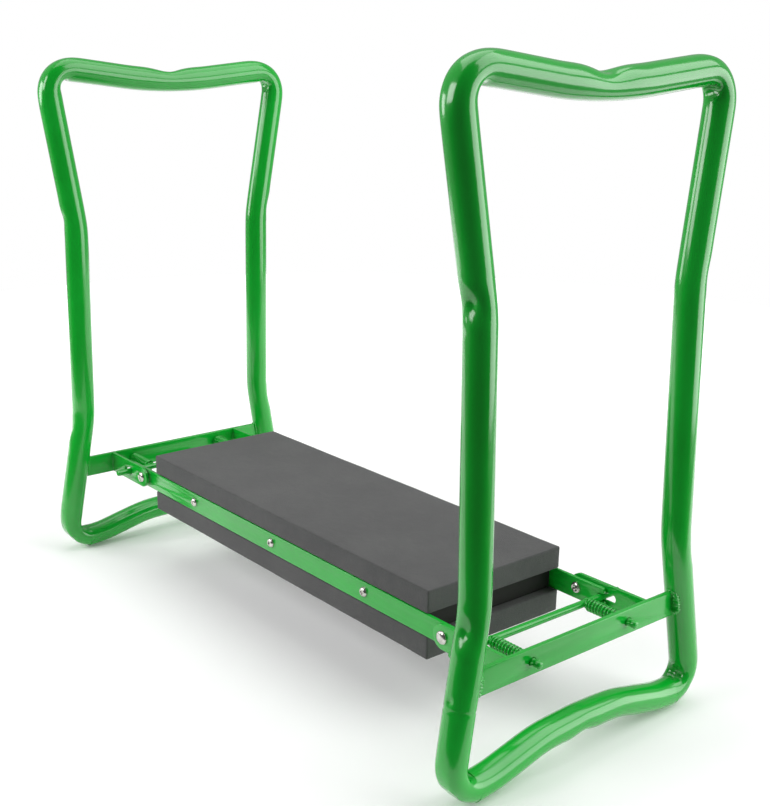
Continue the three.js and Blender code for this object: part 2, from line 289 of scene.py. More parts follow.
# %% [markdown]
# ## From numbers to pieces
# Every shape here comes down to a list of corners and faces. One helper makes the mesh, turns it half a turn
# for the left end, smooths it with its sharp edges kept, and hands it to the body that it moves with.
# Rings of corners joined along a path cover tubes, springs, rods and weld beads alike, and the same rings
# around an axis are a turned part.

# %% Mesh helpers


def make_piece(name, points, faces, material, body, nodes=(), turn=1, sharp=38):
    mesh = bpy.data.meshes.new(name)
    moved = np.asarray(points, float) * (turn, turn, 1)
    mesh.from_pydata(moved.tolist(), [], [list(map(int, face)) for face in faces])
    mesh.validate()
    shape = bmesh.new()
    shape.from_mesh(mesh)
    bmesh.ops.recalc_face_normals(shape, faces=shape.faces)
    shape.to_mesh(mesh)
    shape.free()
    mesh.materials.append(material)
    mesh.shade_smooth()
    mesh.set_sharp_from_angle(angle=math.radians(sharp))
    piece = bpy.data.objects.new(name, mesh)
    bpy.context.scene.collection.objects.link(piece)
    return settle(piece, body, nodes)


def settle(piece, body, nodes):
    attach(piece, body)
    if nodes:
        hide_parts(*nodes)
    return piece


def ring_faces(rings, sides, closed=False, first=0):
    """Quads between rings of corners; an open stack is closed by two end faces."""
    faces = []
    for ring in range(rings if closed else rings - 1):
        here = first + ring * sides
        there = first + (ring + 1) % rings * sides
        for side in range(sides):
            after = (side + 1) % sides
            faces.append((here + side, here + after, there + after, there + side))
    if not closed:
        last = first + (rings - 1) * sides
        faces.append(tuple(range(first + sides - 1, first - 1, -1)))
        faces.append(tuple(range(last, last + sides)))
    return faces


def turned(profile, sides=40):
    """Corners and faces of a turned solid: pairs of radius and distance along +Y, ends near the axis."""
    angles = np.linspace(0, 2 * math.pi, sides, endpoint=False)
    rings = [
        np.stack([r * np.sin(angles), np.full(sides, along), r * np.cos(angles)], axis=1)
        for r, along in profile
    ]
    return np.concatenate(rings), ring_faces(len(profile), sides)


def dome(radius, base, height, steps=7):
    """Profile of a domed head: from its rim at base up to a nearly closed top."""
    turns = np.linspace(0, math.pi / 2 * 0.97, steps)
    return [(radius * math.cos(a), base + height * math.sin(a)) for a in turns]


def join(parts):
    """One list of corners and faces from several."""
    points, faces, count = [], [], 0
    for corners, quads in parts:
        points.append(np.asarray(corners, float))
        faces += [tuple(i + count for i in quad) for quad in quads]
        count += len(corners)
    return np.concatenate(points), faces


def tube_along(path, radii, sides=14):
    """A round bar that follows path, with its own radius at each point."""
    path = np.asarray(path, float)
    tangent = np.gradient(path, axis=0)
    tangent /= np.linalg.norm(tangent, axis=1)[:, None]
    across = np.cross(tangent[0], (0.3, 0.5, 0.8))
    angles = np.linspace(0, 2 * math.pi, sides, endpoint=False)
    rings = []
    for point, along, radius in zip(path, tangent, radii):
        across = across - along * across.dot(along)
        across /= np.linalg.norm(across)
        other = np.cross(along, across)
        rings.append(point + radius * (np.outer(np.cos(angles), across) + np.outer(np.sin(angles), other)))
    return np.concatenate(rings), ring_faces(len(path), sides)


print("a closed stack of 3 rings of 8 corners has", len(ring_faces(3, 8, closed=True)), "faces")

# %% [markdown]
# ## The bent loop
# The loop is one tube bent cold, and a cold bend leaves marks: the tight corners go flat on their outer side
# and pinch in beside the bend, the slight bends on the legs are knocked in with a round former, and the
# middles of the handle and of the ground bar are creased. A curve with a bevel would give a perfect pipe, so
# the loop is drawn as rings of corners whose radius depends on the place along the tube and around it.
#
# First the line: straights and arcs round the whole ring, eased a little where they meet.

# %% The loop's line


ARC_STEP = 0.8 * MM
SPACING = 1.5 * MM
EASE = 2.5 * MM


def rounded_ring(corners):
    """Points along a closed chain of (y, z, radius, kind), and each bend's middle and inner direction."""
    points, bends = [], []
    count = len(corners)
    for i, (y, z, radius, kind) in enumerate(corners):
        corner = np.array((y, z))
        before = np.array(corners[i - 1][:2]) - corner
        after = np.array(corners[(i + 1) % count][:2]) - corner
        before /= np.linalg.norm(before)
        after /= np.linalg.norm(after)
        half = math.acos(np.clip(before.dot(after), -1, 1)) / 2
        inward = (before + after) / np.linalg.norm(before + after)
        centre = corner + inward * radius / math.sin(half)
        start = corner + before * radius / math.tan(half) - centre
        sweep = (math.pi - 2 * half) * -np.sign(before[0] * after[1] - before[1] * after[0])
        steps = max(3, int(abs(sweep) * radius / ARC_STEP))
        first = len(points)
        for angle in np.linspace(0, sweep, steps):
            c, s = math.cos(angle), math.sin(angle)
            points.append(centre + (c * start[0] - s * start[1], s * start[0] + c * start[1]))
        bends.append((points[(first + len(points)) // 2], inward, kind))
    return np.array(points), bends


def even_points(points, spacing, ease):
    """The closed chain at even spacing, eased over a short length."""
    closed = np.vstack([points, points[:1]])
    lengths = np.concatenate([[0], np.cumsum(np.linalg.norm(np.diff(closed, axis=0), axis=1))])
    count = int(lengths[-1] / spacing)
    places = np.linspace(0, lengths[-1], count, endpoint=False)
    even = np.stack([np.interp(places, lengths, closed[:, k]) for k in range(2)], axis=1)
    reach = int(3 * ease / spacing)
    offsets = np.arange(-reach, reach + 1)
    weights = np.exp(-0.5 * (offsets * spacing / ease) ** 2)
    weights /= weights.sum()
    return sum(w * np.roll(even, -k, axis=0) for w, k in zip(weights, offsets)), lengths[-1]


front_half = [(-y, z, radius, kind) for y, z, radius, kind in HALF_LOOP[1:-1]]
whole_loop = HALF_LOOP + front_half[::-1]
rounded, bends = rounded_ring(whole_loop)
line, LOOP_LENGTH = even_points(rounded, SPACING, EASE)
print(f"loop centreline {LOOP_LENGTH:.3f} m in {len(line)} rings")

# %% [markdown]
# Each kind of bend then gets its marks. A dent is a dip in radius on the inner side of the bend, so it is
# written as a bell over the distance along the tube and the angle around it together. The tight corners are
# also squeezed in the plane of the bend, with a flat facet and a small nick on the outer side, and two low
# ridges of pushed-up metal stand beside each dent. One table holds these sizes.

# %% Marks of each kind of bend
# A dent's depth, half length and half angle, its shift towards the slanted stretch of the leg, the share by
# which the tube is squeezed, and the depth or height of the facet, the ridges and the nick.
Mark = namedtuple("Mark", "depth length angle shift squeeze facet ridge nick", defaults=(0, 0, 0, 0, 0))
MARKS = {
    "handle_crease": Mark(4.6 * MM, 14 * MM, 1.0, squeeze=0.01, ridge=0.2 * MM),
    "handle_corner": Mark(5.0 * MM, 10 * MM, 0.70, squeeze=0.07, facet=0.9 * MM, ridge=0.4 * MM),
    "upper_bend": Mark(4.0 * MM, 7.5 * MM, 0.66, shift=10 * MM, squeeze=0.02, ridge=0.6 * MM),
    "lower_bend": Mark(3.8 * MM, 7.5 * MM, 0.66, shift=15 * MM, squeeze=0.02, ridge=0.6 * MM),
    "foot_corner": Mark(
        5.2 * MM, 10 * MM, 0.70, squeeze=0.09, facet=1.8 * MM, ridge=0.4 * MM, nick=1.3 * MM),
    "foot_bend": Mark(0.4 * MM, 12 * MM, 0.70, squeeze=0.01),
    "arch_bend": Mark(0.5 * MM, 14 * MM, 0.70, squeeze=0.02),
    "foot_crease": Mark(2.0 * MM, 8 * MM, 0.80, squeeze=0.02, ridge=0.3 * MM),
}
CORNER_SPREAD = 20 * MM  # half length of a corner's facet and squeeze
HOLLOW_POWER = 1.5  # a corner's hollow is blunt
DENT_POWER = 0.8  # a dent on a straight stretch is keener
FACET_ANGLE = 0.62
NICK_LENGTH = 3 * MM
NICK_ANGLE = 0.9
WIDENING = 0.08  # share of the squeeze that comes out across the bend
DENT_TWIST = 0.28  # the former met the legs a little from outside the loop's plane
PLAIN_LEG = 0.3  # the second leg's dents are this much of the first one's
SEAM_DEPTH = 0.45 * MM
SEAM_HALF = 0.9 * MM
PUNCH_DEPTH = 1.5 * MM
PUNCH_R = 2.2 * MM
PUNCH_ABOVE = 6 * MM
SIDES = 56
print("marks:", {kind: f"{mark.depth / MM:.1f} mm deep" for kind, mark in MARKS.items()})

# %% [markdown]
# One function turns the table into a radius everywhere on the loop. The radius is an array with a row for
# each ring and a column for each side, so most marks are the outer product of a bell along and a bell
# around. The butt joint is a shallow groove round the tube, and a punch mark sits just above it.

# %% The loop's surface


def wrapped(difference, period):
    return (difference + period / 2) % period - period / 2


def bell(value, width, power=2.0):
    return np.exp(-np.abs(value / width) ** power)


def slanted_side(place):
    """1 or -1: the way along the ring in which the tube leaves this place at the greater slant."""
    ahead, behind = (abs(line[(place + step) % len(line)][0] - line[place][0]) for step in (20, -20))
    return 1.0 if ahead > behind else -1.0


def dent_radius(mark, distance, turn):
    """How much a dent and its ridges lower the radius, for distances along and angles around."""
    reach = (distance[:, None] / mark.length) ** 2 + (turn[None, :] / mark.angle) ** 2
    ridges = bell(np.abs(distance) - 1.9 * mark.length, 0.7 * mark.length)
    dip = mark.depth * bell(reach, 1.0, HOLLOW_POWER if mark.facet else DENT_POWER)
    return dip - np.outer(mark.ridge * ridges, bell(turn, 1.3 * mark.angle))


def seam_radius(along, around, tangent, normal):
    """How much the butt joint's groove and the punch mark above it lower the radius."""
    seam = int(np.argmin(np.linalg.norm(line - (-leg_y(SEAM_Z), SEAM_Z), axis=1)))
    from_seam = wrapped(along - along[seam], LOOP_LENGTH)
    outer_angle = 0.0 if normal[seam][0] < 0 else math.pi
    punch = bell(from_seam * np.sign(tangent[seam][1]) - PUNCH_ABOVE, PUNCH_R)
    dot = np.outer(PUNCH_DEPTH * punch, bell(wrapped(around - outer_angle, 2 * math.pi), 0.2))
    return (SEAM_DEPTH * bell(from_seam, SEAM_HALF))[:, None] + dot


def loop_rings():
    """Corners of the whole bent loop, in rings around its line."""
    tangent = np.roll(line, -1, axis=0) - np.roll(line, 1, axis=0)
    tangent /= np.linalg.norm(tangent, axis=1)[:, None]
    normal = np.stack([-tangent[:, 1], tangent[:, 0]], axis=1)
    along = np.arange(len(line)) * LOOP_LENGTH / len(line)
    around = np.linspace(0, 2 * math.pi, SIDES, endpoint=False)
    radius = np.full((len(line), SIDES), TUBE_R)
    in_plane = np.ones(len(line))
    across = np.ones(len(line))
    for middle, inward, kind in bends:
        mark = MARKS[kind]
        if middle[0] > 0 and kind in ("upper_bend", "lower_bend"):
            mark = mark._replace(depth=PLAIN_LEG * mark.depth, ridge=PLAIN_LEG * mark.ridge)
        nearest = int(np.argmin(np.linalg.norm(line - middle, axis=1)))
        distance = wrapped(along - along[nearest], LOOP_LENGTH)
        inner_angle = 0.0 if normal[nearest].dot(inward) > 0 else math.pi
        twist = 0.0 if mark.facet else DENT_TWIST * math.cos(inner_angle)
        turn = wrapped(around - inner_angle - twist, 2 * math.pi)
        radius -= dent_radius(mark, distance - slanted_side(nearest) * mark.shift, turn)
        if mark.facet:
            opposite = wrapped(around - inner_angle - math.pi, 2 * math.pi)
            flat = np.clip(1 - (opposite / FACET_ANGLE) ** 2, 0, 1)
            radius -= np.outer(mark.facet * bell(distance, CORNER_SPREAD, 4), flat)
            radius -= np.outer(mark.nick * bell(distance, NICK_LENGTH), bell(opposite, NICK_ANGLE))
        spread = CORNER_SPREAD if mark.facet else 2 * mark.length
        in_plane -= mark.squeeze * bell(distance, spread, 3)
        across += WIDENING * mark.squeeze * bell(distance, spread, 3)
    radius -= seam_radius(along, around, tangent, normal)
    offset = radius * np.cos(around) * in_plane[:, None]
    x = LOOP_X + radius * np.sin(around) * across[:, None]
    y = line[:, 0, None] + offset * normal[:, 0, None]
    z = line[:, 1, None] + offset * normal[:, 1, None]
    return np.stack([x, y, z], axis=2).reshape(-1, 3)


def leaned(points):
    """Each loop leans a little towards the deck, about the crossbar's middle."""
    c, s = math.cos(LEAN_IN), math.sin(LEAN_IN)
    x, z = points[:, 0] - LOOP_X, points[:, 2] - AXIS_Z
    return np.stack([LOOP_X + c * x - s * z, points[:, 1], AXIS_Z + s * x + c * z], axis=1)


ENDS = (("right", 1), ("left", -1))
loop_points = leaned(loop_rings())
loop_points[:, 2] -= loop_points[:, 2].min()
loop_faces = ring_faces(len(line), SIDES, closed=True)
for end, turn in ENDS:
    make_piece(
        f"{end}_bent_loop", loop_points, loop_faces, GREEN, f"{end}_loop", [f"{end}_loop_tube"], turn, 60)
print(f"bent loop: {len(loop_points)} corners, foot at z {loop_points[:, 2].min():.4f} m")

# %% [markdown]
# ## Flat bar
# Crossbars, brackets and rails are cut from flat bar, and every cut edge is broken a little before coating,
# which is what catches the light. A filled 2D curve does this in one step: its outline and holes are
# splines, its extrusion is the thickness, and its bevel is the broken edge. The outline is then stood up in
# its own plane.

# %% A plate from an outline


def circle(x, y, radius, start=0.0, sweep=2 * math.pi, steps=36):
    whole = abs(sweep) >= 2 * math.pi
    angles = np.linspace(start, start + sweep, steps, endpoint=not whole)
    return [(x + radius * math.cos(a), y + radius * math.sin(a)) for a in angles]


def plate(outlines, thickness, bevel, stand):
    """Corners and faces of a plate; stand turns (u, v, w) rows into x, y, z, with w across the thickness."""
    curve = bpy.data.curves.new("outline", "CURVE")
    curve.dimensions = "2D"
    curve.fill_mode = "BOTH"
    curve.extrude = thickness / 2 - bevel
    curve.bevel_depth = bevel
    curve.bevel_resolution = 2
    curve.offset = -bevel
    for outline in outlines:
        spline = curve.splines.new("POLY")
        spline.points.add(len(outline) - 1)
        for point, (u, v) in zip(spline.points, outline):
            point.co = (u, v, 0, 1)
        spline.use_cyclic_u = True
    holder = bpy.data.objects.new("outline", curve)
    bpy.context.scene.collection.objects.link(holder)
    bpy.context.view_layer.update()
    mesh = bpy.data.meshes.new_from_object(holder.evaluated_get(bpy.context.evaluated_depsgraph_get()))
    shape = bmesh.new()
    shape.from_mesh(mesh)
    bmesh.ops.remove_doubles(shape, verts=shape.verts, dist=1e-6)
    bmesh.ops.dissolve_degenerate(shape, edges=shape.edges, dist=1e-7)
    bmesh.ops.recalc_face_normals(shape, faces=shape.faces)
    shape.verts.ensure_lookup_table()
    flat = np.array([v.co for v in shape.verts])
    faces = [tuple(v.index for v in face.verts) for face in shape.faces]
    shape.free()
    bpy.data.objects.remove(holder)
    bpy.data.curves.remove(curve)
    bpy.data.meshes.remove(mesh)
    points = np.array(stand(flat[:, 0], flat[:, 1], flat[:, 2])).T
    return points, faces


def facing_y(middle):
    """Stands an outline drawn in X and Z up, with its thickness along Y."""
    return lambda u, v, w: (u, middle - w, v)


def facing_x(middle):
    """Stands an outline drawn in Y and Z up, with its thickness along X."""
    return lambda u, v, w: (middle + w, u, v)


print("a trial plate has", len(plate([circle(0, 0, BAR_HALF)], 3 * MM, 0.4 * MM, facing_y(0))[1]), "faces")

# %% [markdown]
# The crossbar's ends follow the lean of the legs and sink a little into the tube, where the weld holds them.
# Two holes let the guide pins through. The bracket has one round end about its pivot, and a slot as long as
# the lock rod's travel. The rail is open at its end: a lower lip and a short upper finger hold the rod, and
# the rod has to be drawn out of that notch before the loop can swing.

# %% Crossbars, brackets and rails
SINK = 1.2 * MM
pin_low, pin_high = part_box("right_back_guide_pin")
PIN_R = (pin_high.z - pin_low.z) / 2
HOLE_PLAY = 0.4 * MM
SLOT_PLAY = 0.6 * MM
NOTCH_PLAY = 0.35 * MM
PIVOT_HOLE_R = 3.4 * MM
RAIL_HOLE_R = 3.3 * MM
CROSSBAR_EDGE = 0.5 * MM
BRACKET_EDGE = 0.45 * MM
RAIL_EDGE = 0.4 * MM
FINGER_BACK = 1.5 * MM  # the upper finger is this much shorter than the lower lip
TIP_R = 1.6 * MM
LEAN = math.atan2(LEG_FOOT[0] - LEG_TOP[0], LEG_TOP[1] - LEG_FOOT[1])


def crossbar():
    bottom, top = bar_low.z, bar_high.z
    reach = TUBE_R / math.cos(LEAN) - SINK
    low, high = leg_y(bottom) - reach, leg_y(top) - reach
    outline = [(-low, bottom), (low, bottom), (high, top), (-high, top)]
    holes = [circle(side * PIN_Y, AXIS_Z, PIN_R + HOLE_PLAY, steps=28) for side in (-1, 1)]
    thickness = bar_high.x - bar_low.x
    return plate([outline, *holes], thickness, CROSSBAR_EDGE, facing_x((bar_low.x + bar_high.x) / 2))


def slot_outline(start, end, height, radius):
    left = circle(start, height, radius, math.pi / 2, math.pi, 16)
    return left + circle(end, height, radius, -math.pi / 2, math.pi, 16)


def bracket(side):
    inner = bar_low.x + SINK / 3
    round_end = circle(PIVOT_X, AXIS_Z, BAR_HALF, math.pi / 2, math.pi, 28)
    outline = [(inner, AXIS_Z - BAR_HALF), (inner, AXIS_Z + BAR_HALF)] + round_end
    pivot = circle(PIVOT_X, AXIS_Z, PIVOT_HOLE_R)
    slot = slot_outline(ROD_X, ROD_X + TRAVEL, AXIS_Z, ROD_R + SLOT_PLAY)
    middle = side * (abs(bracket_low.y) + abs(bracket_high.y)) / 2
    thickness = bracket_high.y - bracket_low.y
    return plate([outline, pivot, slot], thickness, BRACKET_EDGE, facing_y(middle))


def rail(side):
    top, bottom = rail_high.z, rail_low.z
    lip = rail_high.x
    finger = lip - FINGER_BACK
    notch = ROD_R + NOTCH_PLAY
    notch_top = AXIS_Z + notch
    outline = []
    for end in (1, -1):
        half = [(lip - TIP_R, bottom)]
        half += circle(lip - TIP_R, bottom + TIP_R, TIP_R, -math.pi / 2, math.pi / 2, 6)
        half += [(lip, AXIS_Z - notch - 1 * MM), (lip - 1 * MM, AXIS_Z - notch)]
        half += circle(ROD_X, AXIS_Z, notch, 1.5 * math.pi, -math.pi, 16)
        half += [(finger - 0.6 * MM, notch_top), (finger, notch_top + 0.8 * MM)]
        half += circle(finger - TIP_R, top - TIP_R, TIP_R, 0, math.pi / 2, 6)
        outline += [(end * u, v) for u, v in (half if end > 0 else half[::-1])]
    holes = [circle(end * PIVOT_X, AXIS_Z, RAIL_HOLE_R) for end in (1, -1)]
    thickness = rail_high.y - rail_low.y
    middle = side * (rail_low.y + rail_high.y) / 2
    return plate([outline, *holes], thickness, RAIL_EDGE, facing_y(middle))


def edge_name(side, turn):
    """An end's pieces are drawn at the right, so the left end's front edge is drawn at the back."""
    return "front" if side * turn < 0 else "back"


for end, turn in ENDS:
    body = f"{end}_loop"
    make_piece(f"{end}_flat_crossbar", *crossbar(), GREEN, body, [f"{end}_crossbar"], turn)
    for side in (-1, 1):
        edge = edge_name(side, turn)
        make_piece(
            f"{end}_{edge}_hinge_plate", *bracket(side), GREEN, body, [f"{end}_{edge}_bracket"], turn)
for side, edge in ((-1, "front"), (1, "back")):
    make_piece(f"{edge}_side_rail", *rail(side), GREEN, "seat", [f"{edge}_rail"])
print("flat bar: 2 crossbars, 4 hinge plates, 2 side rails")

# %% [markdown]
# ## Welds
# Where flat bar meets tube, a welder has run a short bead round the joint, and the coat has softened its
# ripples. A bead is a thin round bar that follows the joint, with a radius that swells at each ripple, so
# the same helper that makes springs makes it.

# %% Weld beads
BEAD_R = 1.5 * MM
BRACKET_BEAD_R = 0.9 * MM
PUDDLE_R = 3.4 * MM  # the broad bead on the crossbar's outer face
PUDDLE_OUT = 1.8 * MM
PUDDLE_IN = 1.4 * MM
RIPPLE = 2.3 * MM
BEAD_STEP = 0.6 * MM


def bead(corners, radius):
    """A rippled weld bead along a chain of corners, thin at both ends."""
    corners = np.array(corners, float)
    lengths = np.concatenate([[0], np.cumsum(np.linalg.norm(np.diff(corners, axis=0), axis=1))])
    places = np.linspace(0, lengths[-1], max(6, int(lengths[-1] / BEAD_STEP)))
    path = np.stack([np.interp(places, lengths, corners[:, k]) for k in range(3)], axis=1)
    smooth = (np.roll(path, 1, axis=0) + path + np.roll(path, -1, axis=0)) / 3
    path[1:-1] = smooth[1:-1]
    fade = np.sqrt(np.clip(np.minimum(places, lengths[-1] - places) / (1.5 * radius), 0.03, 1))
    radii = radius * fade * (1 + 0.16 * np.sin(2 * math.pi * places / RIPPLE))
    return tube_along(path, radii, 12)


def end_beads(side):
    """Beads round one end of the crossbar: up its outer face, over the top and down its inner face."""
    faces_x = (bar_high.x, bar_low.x)
    bottom, top = bar_low.z + 0.6 * MM, bar_high.z - 0.6 * MM
    reach = math.sqrt(TUBE_R ** 2 - (2 * MM) ** 2) / math.cos(LEAN) + 0.3 * MM
    corners = [
        (faces_x[0], side * (leg_y(bottom) - reach), bottom),
        (faces_x[0], side * (leg_y(top) - reach), top),
        (faces_x[0] - 0.6 * MM, side * (leg_y(top) - reach), top + 0.9 * MM),
        (faces_x[1] + 0.6 * MM, side * (leg_y(top) - reach), top + 0.9 * MM),
        (faces_x[1], side * (leg_y(top) - reach), top),
        (faces_x[1], side * (leg_y(bottom) - reach), bottom),
    ]
    upright = [
        (faces_x[0] + PUDDLE_OUT, side * (leg_y(z) - reach + PUDDLE_IN), z)
        for z in (bottom, top + 0.5 * MM)
    ]
    return join([bead(corners, BEAD_R), bead(upright, PUDDLE_R)])


def bracket_beads(side):
    """Two upright beads that hold one bracket's end to the crossbar's inner face."""
    beads = []
    for y in (bracket_low.y, bracket_high.y):
        foot = side * abs(y)
        low, high = AXIS_Z - BAR_HALF + 1.2 * MM, AXIS_Z + BAR_HALF - 1.2 * MM
        beads.append(bead([(bar_low.x, foot, low), (bar_low.x, foot, high)], BRACKET_BEAD_R))
    return beads


for end, turn in ENDS:
    beads = []
    for side in (-1, 1):
        beads.append(end_beads(side))
        beads += bracket_beads(side)
    make_piece(f"{end}_weld_beads", *join(beads), GREEN, f"{end}_loop", (), turn, 80)
print(f"welds: {len(beads)} beads at each end")

# %% [markdown]
# ## Sprung lock
# A plain bar crosses both rails and carries two pins, which slide through the crossbar. Each pin was staked
# outside the crossbar: two small ears were squeezed out of it, so that it can't draw back through its hole.
# The bar and its pins are turned parts. The ears are a change of radius with the angle round the pin.

# %% Lock bars and guide pins
ROD_HALF = (rod_high.y - rod_low.y) / 2
CHAMFER = 0.7 * MM
AXIS_END = 0.05 * MM  # a turned part's end face starts this close to its axis
EAR_AT = 1.9 * MM  # middle of the ears, out from the crossbar's face
EAR_OUT = 1.9 * MM
EAR_THIN = 0.35 * MM
COLLAR_R = 0.75 * MM


def lock_bar():
    profile = [
        (AXIS_END, -ROD_HALF), (ROD_R - CHAMFER, -ROD_HALF), (ROD_R, -ROD_HALF + CHAMFER),
        (ROD_R, ROD_HALF - CHAMFER), (ROD_R - CHAMFER, ROD_HALF), (AXIS_END, ROD_HALF),
    ]
    points, faces = turned(profile)
    return points + (ROD_X, 0, AXIS_Z), faces


def guide_pin(side):
    """A pin along X with staked ears just outside the crossbar."""
    ear_middle = bar_high.x + EAR_AT
    places = np.concatenate([
        [pin_low.x - 1 * MM, bar_high.x + 0.3 * MM],
        np.linspace(bar_high.x + 0.4 * MM, bar_high.x + 3.6 * MM, 15),
        [pin_high.x - CHAMFER, pin_high.x, pin_high.x],
    ])
    radii = np.full(len(places), PIN_R)
    radii[-2:] = (PIN_R - CHAMFER, AXIS_END)
    angles = np.linspace(0, 2 * math.pi, 48, endpoint=False)
    ears = bell(np.abs(np.cos(angles)) - 1, 0.09)
    rings = []
    for place, radius in zip(places, radii):
        share = bell(place - ear_middle, 1.1 * MM, 3) * (place > bar_high.x + 0.35 * MM)
        grown = radius + share * (EAR_OUT * ears - EAR_THIN * (1 - ears))
        y = side * PIN_Y + grown * np.cos(angles)
        z = AXIS_Z + grown * np.sin(angles)
        rings.append(np.stack([np.full(len(angles), place), y, z], axis=1))
    return np.concatenate(rings), ring_faces(len(rings), len(angles))


def collar(side):
    """The weld that holds a pin to the lock bar."""
    angles = np.linspace(0, 2 * math.pi, 40)
    y = side * PIN_Y + (PIN_R + 0.2 * MM) * np.sin(angles)
    z = AXIS_Z + (PIN_R + 0.2 * MM) * np.cos(angles)
    x = ROD_X + np.sqrt(np.clip((ROD_R + 0.2 * MM) ** 2 - (z - AXIS_Z) ** 2, 0, None)) + 0.15 * MM
    radii = COLLAR_R * (1 + 0.2 * np.sin(7 * angles))
    return tube_along(np.stack([x, y, z], axis=1), radii, 10)


for end, turn in ENDS:
    body = f"{end}_lock"
    make_piece(f"{end}_lock_bar", *lock_bar(), GREEN, body, [f"{end}_lock_rod"], turn)
    for side in (-1, 1):
        edge = edge_name(side, turn)
        make_piece(
            f"{end}_{edge}_staked_pin", *guide_pin(side), GREEN, body, [f"{end}_{edge}_guide_pin"], turn, 50)
    collars = join([collar(-1), collar(1)])
    make_piece(f"{end}_pin_welds", *collars, GREEN, body, (), turn, 80)
print(f"lock bar {2 * ROD_HALF / MM:.0f} mm long, pins out to x {pin_high.x / MM:.0f} mm")

# %% [markdown]
# Each pin carries a compression spring with closed ends: its last coil lies flat against the one before it,
# so the pitch eases to one wire's thickness at both ends. When the lock is drawn back the spring shortens
# towards the crossbar.

# %% Springs
WIRE_R = 0.8 * MM
COIL_R = (spring_high.z - spring_low.z) / 2 - WIRE_R
SPRING_TURNS = 11.5
CLOSED_TURNS = 1.0
SPRING_LENGTH = spring_high.x - spring_low.x


def spring(side):
    length = SPRING_LENGTH - 2 * WIRE_R - 0.2 * MM
    turns = np.linspace(0, SPRING_TURNS, int(SPRING_TURNS * 30))
    open_turns = SPRING_TURNS - 2 * CLOSED_TURNS
    closed_pitch = 2 * WIRE_R + 0.1 * MM
    open_pitch = (length - 2 * CLOSED_TURNS * closed_pitch) / open_turns
    pitch = np.where((turns > CLOSED_TURNS) & (turns < SPRING_TURNS - CLOSED_TURNS), open_pitch, closed_pitch)
    rise = np.concatenate([[0], np.cumsum((pitch[1:] + pitch[:-1]) / 2 * np.diff(turns))])
    rise *= length / rise[-1]
    angle = 2 * math.pi * turns
    x = spring_low.x + WIRE_R + 0.1 * MM + rise
    y = side * PIN_Y + COIL_R * np.cos(angle)
    z = AXIS_Z + COIL_R * np.sin(angle)
    return tube_along(np.stack([x, y, z], axis=1), np.full(len(turns), WIRE_R), 12)


for end, turn in ENDS:
    for side in (-1, 1):
        edge = edge_name(side, turn)
        piece = make_piece(
            f"{end}_{edge}_coil_spring", *spring(side), GREEN, f"{end}_loop",
            [f"{end}_{edge}_lock_spring"], turn, 80)
        (SPRING_LENGTH - TRAVEL) / SPRING_LENGTH
        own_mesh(piece)
print(f"springs: coil radius {COIL_R / MM:.1f} mm, length {SPRING_LENGTH / MM:.1f} mm")

# %% [markdown]
# ## Rivets, washers and screws
# The pivots are semi-tubular rivets: a low dome outside, and inside a tail whose rim the press rolled over a
# hollow, which shows as a bright ring with a dark middle. Both ends are one turned profile.

# %% Rivets and washers
rivet_low, rivet_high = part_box("right_back_pivot_rivet")
washer_low, washer_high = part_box("right_back_pivot_washer")
RIVET_R = (rivet_high.x - rivet_low.x) / 2
SHANK_R = 2.9 * MM
HEAD_SEAT = max(abs(bracket_low.y), abs(bracket_high.y)) + 0.1 * MM
TAIL_SEAT = rail_low.y - 0.1 * MM


def pivot_rivet(side):
    tail_r = 0.84 * RIVET_R
    tail_top = rivet_low.y
    profile = [
        (AXIS_END, TAIL_SEAT - 0.2 * MM), (1.3 * MM, TAIL_SEAT - 0.2 * MM), (1.9 * MM, TAIL_SEAT - 0.9 * MM),
        (2.5 * MM, tail_top + 0.2 * MM), (3.1 * MM, tail_top), (3.8 * MM, tail_top + 0.35 * MM),
        (tail_r, tail_top + 1.1 * MM), (tail_r, TAIL_SEAT), (SHANK_R, TAIL_SEAT), (SHANK_R, HEAD_SEAT),
        (RIVET_R - 0.15 * MM, HEAD_SEAT), (RIVET_R, HEAD_SEAT + 0.25 * MM),
    ]
    profile += dome(RIVET_R, HEAD_SEAT + 0.4 * MM, rivet_high.y - HEAD_SEAT - 0.4 * MM, 9)
    points, faces = turned(profile, 48)
    return points * (1, side, 1) + (PIVOT_X, 0, AXIS_Z), faces


def washer(side):
    ring = [circle(PIVOT_X, AXIS_Z, (washer_high.x - washer_low.x) / 2, steps=48)]
    ring.append(circle(PIVOT_X, AXIS_Z, SHANK_R + 0.3 * MM, steps=32))
    middle = side * (washer_low.y + washer_high.y) / 2
    return plate(ring, washer_high.y - washer_low.y, 0.15 * MM, facing_y(middle))


for end, turn in ENDS:
    for side in (-1, 1):
        edge = edge_name(side, turn)
        for kind, shape, material in (("rivet", pivot_rivet, NICKEL), ("washer", washer, STEEL)):
            node = f"{end}_{edge}_pivot_{kind}"
            make_piece(
                f"{end}_{edge}_hinge_{kind}", *shape(side), material, BODY_OF[node], [node], turn, 35)
print(f"rivets: head radius {RIVET_R / MM:.1f} mm")

# %% [markdown]
# The screws that hold the board are pan heads with a cross recess. A boolean cut would do, but pressing the
# head's rings down where the cross is keeps the mesh in clean quads.

# %% Screws
screw_low, screw_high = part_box("back_rail_screw_middle")
SCREW_R = (screw_high.x - screw_low.x) / 2
RAIL_FACE = rail_high.y
RECESS = (2.3 * MM, 0.62 * MM, 1.3 * MM)  # reach of each arm, half its width, and its depth
SCREW_SHANK_R = 1.9 * MM


